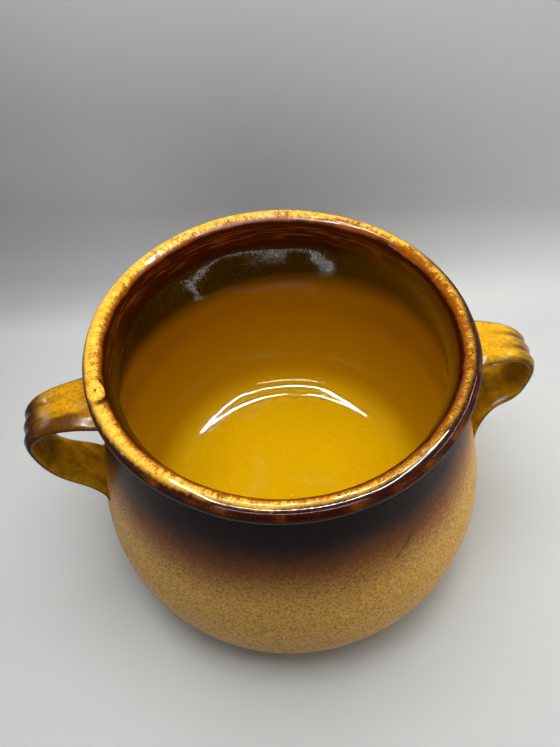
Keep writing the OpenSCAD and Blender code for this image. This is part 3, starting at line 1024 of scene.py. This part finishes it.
def lay_floor(settings):
    """A pale sweep: floor, curve and back wall in one sheet that is seen through from behind."""
    start, radius = settings.back_from, settings.back_curve
    bend = arc((start, radius), radius, -90, 0, 24)
    line = [(-FLOOR_HALF, 0.0), *(tuple(p) for p in bend), (start + radius, settings.back_top)]
    points = [(x, y, z) for y, z in line for x in (-FLOOR_HALF, FLOOR_HALF)]
    faces = [(2 * i, 2 * i + 1, 2 * i + 3, 2 * i + 2) for i in range(len(line) - 1)]
    sweep = mesh_from("floor_sweep", points, faces)
    sweep.rotation_euler = (0, 0, settings.turn)
    sweep.data.polygons.foreach_set("use_smooth", np.ones(len(faces), bool))

    def floor_paper(n, s):
        """Pale paper, grey where it rises behind the pot, with one shade for each height."""
        cloud = n.noise(n.place(), 3.0, 2)
        height = n.part(n.place(), "Z")
        stops = [(z / s.back_top, tuple(c * shade for c in s.wall)) for z, shade in BACKDROP_PAINTED_SHADE]
        wall = n.add("ValToRGB", {"stops": stops}, {0: height * (1 / s.back_top)})
        across = n.part(n.place(), "X")
        hump = n.between(height, 0.03, 0.07) * n.between(height, 0.16, 0.08)
        # Painted light on the backdrop: lighter towards the right, less so higher up, and a little lighter on
        # the left at middle heights
        wall = n.wash(wall, s.floor, across, -0.05, 0.22, 0.6 - height * 1.6)
        wall = n.wash(wall, s.floor, across, -0.02, -0.16, 0.12 + hump * 0.19)
        base = n.wash(s.floor, FLOOR_CLOUD, cloud, 0.3, 0.7, 0.04)
        rise = n.part(n.place(), "Y") - across * 0.1 - s.back_from
        base = n.wash(base, wall, rise, 0.003, 0.045)
        sheet = glossy(n, base, 0.8, cloud, 0.02, 0.1 * MM, level=0.2)
        behind = n.add("NewGeometry", out="Backfacing")
        return n.add("MixShader", {}, {0: behind, 1: sheet, 2: n.add("BsdfTransparent")})

    sweep.data.materials.append(finish(floor_paper, settings))
    sweep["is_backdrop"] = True


def light_world():
    """Pale walls on both sides and a faint one behind, with the front and the top dark."""
    world = bpy.data.worlds.new("studio")
    world.use_nodes = True
    bpy.context.scene.world = world
    n = Nodes(world.node_tree)
    way = n.add("TexCoord", out=0)
    x, y, z = (n.part(way, axis) for axis in "XYZ")
    right, left, back = n.between(x, 0.15, 0.85), n.between(x, -0.15, -0.85), n.between(y, 0.0, 0.6)
    strength = (0.01 + right * 0.58 + left * 0.55 + back * 0.1) * (1.0 - n.between(z, 0.1, 0.55) * 0.93)
    sky = n.add("Background", {}, {"Color": (1.0, 1.0, 1.0, 1.0), "Strength": strength})
    n.add("OutputWorld", {}, {"Surface": sky})


def hang_lamp(name, size, watts, place, turn):
    """An area lamp that points down."""
    lamp = bpy.data.lights.new(name, "AREA")
    lamp.shape = "RECTANGLE"
    lamp.size, lamp.size_y = size
    lamp.energy = watts
    thing = object_from(name, lamp)
    thing.location = place
    thing.rotation_euler = (0, 0, turn)
    return thing


def dot_lamp(lamp, run):
    """Breaks a strip into its row of small lamps."""
    lamp.use_nodes = True
    n = Nodes(lamp.node_tree)
    along = n.part(n.add("NewGeometry", out="Parametric"), "X")
    wave = n.math("SINE", along * (2 * math.pi * run / LAMP_PITCH))
    dots = n.between(wave, -0.2, 0.4)
    shade = n.mix(dots, LAMP_GAP, (1.0, 1.0, 1.0))
    n.add("OutputLight", {}, {"Surface": n.add("Emission", {}, {"Color": shade})})


def hang_lamps(s):
    """A soft square light overhead, and the narrow strips that the glaze mirrors."""
    fill = hang_lamp("fill", (s.fill_size, s.fill_size), s.fill_power, (s.fill_x, 0, s.fill_z), s.turn)
    side = hang_lamp("side", (s.side_size, s.side_size), s.side_power, (s.side_x, s.side_y, s.side_z), 0)
    to_pot = Vector((0, 0, s.aim_z / 2)) - side.location
    side.rotation_euler = to_pot.to_track_quat("-Z", "Y").to_euler()
    fill.visible_glossy = side.visible_glossy = False
    spin = Matrix.Rotation(s.turn, 3, "Z")
    for i, (x, y, run, quarters, share_of) in enumerate(STRIPS):
        place = spin @ Vector((x, y, s.strip_z))
        watts = s.strip_glow * share_of * math.pi * run * s.strip_w
        strip = hang_lamp(f"strip_{i}", (run, s.strip_w), watts, place, s.turn + quarters * math.pi / 2)
        dot_lamp(strip.data, run)
        strip.visible_diffuse = False


def set_camera(s):
    """The camera at the photograph's viewing angle."""
    data = bpy.data.cameras.new("view")
    data.lens = s.lens
    data.sensor_width = SENSOR
    data.sensor_fit = "AUTO"
    data.clip_start = 0.01
    camera = object_from("view", data)
    steps = ((s.swing, "Z"), (math.pi / 2 - s.elevation, "X"), (s.pan, "Y"), (s.tilt, "X"), (-s.roll, "Z"))
    turn = Matrix.Identity(4)
    for amount, axis in steps:
        turn = turn @ Matrix.Rotation(amount, 4, axis)
    back = Matrix.Rotation(s.swing, 4, "Z") @ Vector((0, -math.cos(s.elevation), math.sin(s.elevation)))
    camera.matrix_world = Matrix.Translation(Vector((0, 0, s.aim_z)) + back * s.distance) @ turn
    bpy.context.scene.camera = camera


# Operators


class POT_OT_fire(bpy.types.Operator):
    """Throws the body, pulls the straps, joins them and glazes the pot"""

    bl_idname = "pot.fire"
    bl_label = "Pot"

    def execute(self, context):
        scene = context.scene
        wall = Wall(scene.pot_body)
        body = throw_body(wall)
        left, left_points, left_places = pull_strap(wall, scene.pot_left_strap, -1)
        right, right_points, right_places = pull_strap(wall, scene.pot_right_strap, 1)
        pot = join(body, (left, right))
        places = mark_places(pot, wall, np.vstack((left_points, right_points)),
                             np.vstack((left_places, right_places)))
        settle(pot, warp(wall, *places))
        for build in (amber_glaze, body_glaze, strap_glaze, bare_clay):
            pot.data.materials.append(finish(build, scene.pot_glaze))
        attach(pot, "root")
        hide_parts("pot")
        return {"FINISHED"}


class POT_OT_stage(bpy.types.Operator):
    """Lays the floor, hangs the lights and sets the camera"""

    bl_idname = "pot.stage"
    bl_label = "Stage"

    def execute(self, context):
        settings = context.scene.pot_stage
        lay_floor(settings)
        light_world()
        hang_lamps(settings)
        set_camera(settings)
        context.scene.view_settings.view_transform = "Standard"
        return {"FINISHED"}


class POT_PT_panel(bpy.types.Panel):
    """Lists the pot's steps and sizes"""

    bl_idname = "POT_PT_panel"
    bl_label = "Glazed pot"
    bl_space_type = "VIEW_3D"
    bl_region_type = "UI"
    bl_category = "Pot"

    def draw(self, context):
        for operator in OPERATORS:
            self.layout.operator(operator.bl_idname)
        for name, group in GROUPS:
            box = self.layout.box()
            held = getattr(context.scene, name)
            for key in group.__annotations__:
                box.prop(held, key)


OPERATORS = (POT_OT_fire, POT_OT_stage)
GROUPS = (
    ("pot_body", PotBodySizes),
    ("pot_left_strap", PotLeftStrapSizes),
    ("pot_right_strap", PotRightStrapSizes),
    ("pot_glaze", PotGlazeColours),
    ("pot_stage", PotStageSettings),
)


def register():
    for name, group in GROUPS:
        bpy.utils.register_class(group)
        setattr(bpy.types.Scene, name, PointerProperty(type=group))
    for operator in OPERATORS:
        bpy.utils.register_class(operator)
    bpy.utils.register_class(POT_PT_panel)


def unregister():
    bpy.utils.unregister_class(POT_PT_panel)
    for operator in reversed(OPERATORS):
        bpy.utils.unregister_class(operator)
    for name, group in reversed(GROUPS):
        delattr(bpy.types.Scene, name)
        bpy.utils.unregister_class(group)


def main():
    register()
    bpy.ops.pot.fire()
    bpy.ops.pot.stage()
    bpy.context.view_layer.update()


if __name__ == "__main__":
    main()
